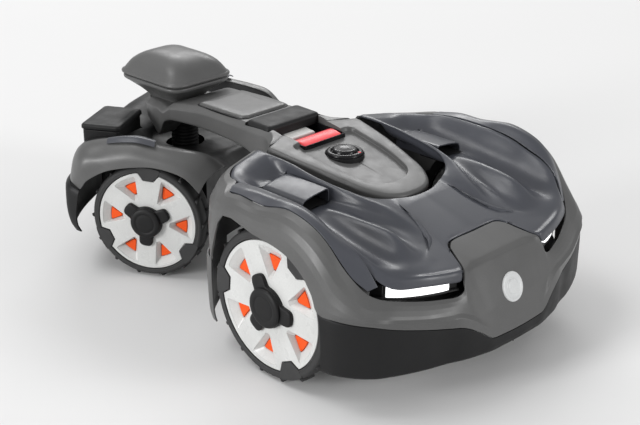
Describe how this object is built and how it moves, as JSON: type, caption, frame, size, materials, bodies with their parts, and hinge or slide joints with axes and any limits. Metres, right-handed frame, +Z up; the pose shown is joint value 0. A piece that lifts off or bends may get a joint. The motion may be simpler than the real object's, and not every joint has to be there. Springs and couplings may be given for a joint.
{
  "type": "robotic lawn mower",
  "caption": "Articulated all-wheel-drive robotic lawn mower with a steered rear body, arm-mounted antenna pod, lamps, sensor visors and a pivoting-blade cutting disc.",
  "frame": {"origin": "on the ground under the middle of the mower's overall box at its stored steering angle", "axes": "+Z up, the mower faces -Y, +X is the mower's left side"},
  "size_m": [0.5402, 0.9592, 0.337],
  "materials": {
    "shell_grey": "satin, fine grain",
    "cover_blue_grey": "satin gloss",
    "dark_grey": "matte, fine grain",
    "black_gloss": "glossy",
    "rim_silver": "satin silver-white",
    "insert_orange": "matte",
    "stop_red": "satin",
    "key_white": "satin",
    "lamp_white": "diffuse light strip",
    "tyre": "matte rubber",
    "steel": "brushed",
    "motor_metal": "satin",
    "board_green": "satin"
  },
  "bodies": {
    "front_body": {"chassis": "dark_grey", "surround": "shell_grey", "top_cover": "cover_blue_grey", "side_trim_left": "cover_blue_grey", "side_trim_right": "cover_blue_grey", "bumper": "dark_grey", "rear_guard_left": "shell_grey", "rear_guard_right": "shell_grey", "console": "shell_grey", "link_arm": "shell_grey", "antenna_base": "shell_grey", "antenna_dome": "shell_grey", "headlamp_left": "lamp_white", "headlamp_right": "lamp_white", "sensor_visor_left": "cover_blue_grey", "sensor_visor_right": "cover_blue_grey", "sensor_left": "black_gloss", "sensor_right": "black_gloss", "battery": "black_gloss", "circuit_board": "board_green", "front_motor_left": "motor_metal", "front_motor_right": "motor_metal"},
    "display_hatch": {"display_hatch": "dark_grey"},
    "control_knob": {"control_knob": "black_gloss"},
    "stop_button": {"stop_button": "stop_red"},
    "start_button": {"start_button": "key_white"},
    "cutter_carriage": {"cutter_carriage": "dark_grey"},
    "cutting_disc": {"cutting_disc": "steel"},
    "skid_plate": {"skid_plate": "dark_grey"},
    "blade_1": {"blade_1": "steel"},
    "blade_2": {"blade_2": "steel"},
    "blade_3": {"blade_3": "steel"},
    "steering_yoke": {"steering_yoke": "steel"},
    "rear_body": {"rear_chassis": "dark_grey", "rear_cover": "shell_grey", "rear_bumper": "dark_grey", "rear_trim_left": "cover_blue_grey", "rear_trim_right": "cover_blue_grey", "rear_box": "dark_grey", "rear_motor_left": "motor_metal", "rear_motor_right": "motor_metal"},
    "rear_box_lid": {"rear_box_lid": "black_gloss"},
    "front_wheel_left": {"front_tyre_left": "tyre", "front_rim_left": "rim_silver", "front_insert_left": "insert_orange", "front_hub_cap_left": "dark_grey"},
    "front_wheel_right": {"front_tyre_right": "tyre", "front_rim_right": "rim_silver", "front_insert_right": "insert_orange", "front_hub_cap_right": "dark_grey"},
    "rear_wheel_left": {"rear_tyre_left": "tyre", "rear_rim_left": "rim_silver", "rear_insert_left": "insert_orange", "rear_hub_cap_left": "dark_grey"},
    "rear_wheel_right": {"rear_tyre_right": "tyre", "rear_rim_right": "rim_silver", "rear_insert_right": "insert_orange", "rear_hub_cap_right": "dark_grey"}
  },
  "joints": [
    {"name": "front_wheel_left_spin", "type": "hinge", "parent": "front_body", "child": "front_wheel_left", "pos_m": [0.229, -0.2256, 0.118], "axis": [1, 0, 0], "continuous": true},
    {"name": "front_wheel_right_spin", "type": "hinge", "parent": "front_body", "child": "front_wheel_right", "pos_m": [-0.229, -0.2256, 0.118], "axis": [1, 0, 0], "continuous": true},
    {"name": "steering", "type": "hinge", "parent": "front_body", "child": "steering_yoke", "pos_m": [0, 0.2644, 0.2], "axis": [0, 0, 1], "range_deg": [-64.5, 5.5]},
    {"name": "rear_roll", "type": "hinge", "parent": "steering_yoke", "child": "rear_body", "pos_m": [0, 0.2644, 0.12], "axis": [-0.4924, 0.8704, 0], "range_deg": [-6, 6]},
    {"name": "rear_wheel_left_spin", "type": "hinge", "parent": "rear_body", "child": "rear_wheel_left", "pos_m": [0.15099, 0.3458, 0.101], "axis": [0.8704, 0.4924, 0], "continuous": true},
    {"name": "rear_wheel_right_spin", "type": "hinge", "parent": "rear_body", "child": "rear_wheel_right", "pos_m": [-0.14754, 0.1769, 0.101], "axis": [0.8704, 0.4924, 0], "continuous": true},
    {"name": "rear_box_lid_hinge", "type": "hinge", "parent": "rear_body", "child": "rear_box_lid", "pos_m": [-0.14121, 0.33732, 0.233], "axis": [-0.8704, -0.4924, 0], "range_deg": [0, 75]},
    {"name": "cutting_height", "type": "slide", "parent": "front_body", "child": "cutter_carriage", "axis": [0, 0, 1], "range_m": [-0.02, 0.02]},
    {"name": "cutting_disc_spin", "type": "hinge", "parent": "cutter_carriage", "child": "cutting_disc", "pos_m": [0, -0.2006, 0.06], "axis": [0, 0, 1], "continuous": true},
    {"name": "skid_plate_spin", "type": "hinge", "parent": "cutter_carriage", "child": "skid_plate", "pos_m": [0, -0.2006, 0.05], "axis": [0, 0, 1], "continuous": true},
    {"name": "blade_1_pivot", "type": "hinge", "parent": "cutting_disc", "child": "blade_1", "pos_m": [0.08, -0.2006, 0.0547], "axis": [0, 0, 1], "continuous": true},
    {"name": "blade_2_pivot", "type": "hinge", "parent": "cutting_disc", "child": "blade_2", "pos_m": [-0.04, -0.13132, 0.0547], "axis": [0, 0, 1], "continuous": true},
    {"name": "blade_3_pivot", "type": "hinge", "parent": "cutting_disc", "child": "blade_3", "pos_m": [-0.04, -0.26988, 0.0547], "axis": [0, 0, 1], "continuous": true},
    {"name": "control_knob_turn", "type": "hinge", "parent": "front_body", "child": "control_knob", "pos_m": [0, -0.1276, 0.256], "axis": [0, 0, 1], "continuous": true},
    {"name": "stop_button_press", "type": "slide", "parent": "front_body", "child": "stop_button", "axis": [0, 0, 1], "range_m": [-0.0035, 0], "stiffness_N_per_m": 900, "springref_m": 0.001},
    {"name": "start_button_press", "type": "slide", "parent": "front_body", "child": "start_button", "axis": [0, 0, 1], "range_m": [-0.003, 0], "stiffness_N_per_m": 600, "springref_m": 0.001},
    {"name": "display_hatch_hinge", "type": "hinge", "parent": "front_body", "child": "display_hatch", "pos_m": [0, 0.0402, 0.28], "axis": [-1, 0, 0], "range_deg": [0, 70]}
  ]
}
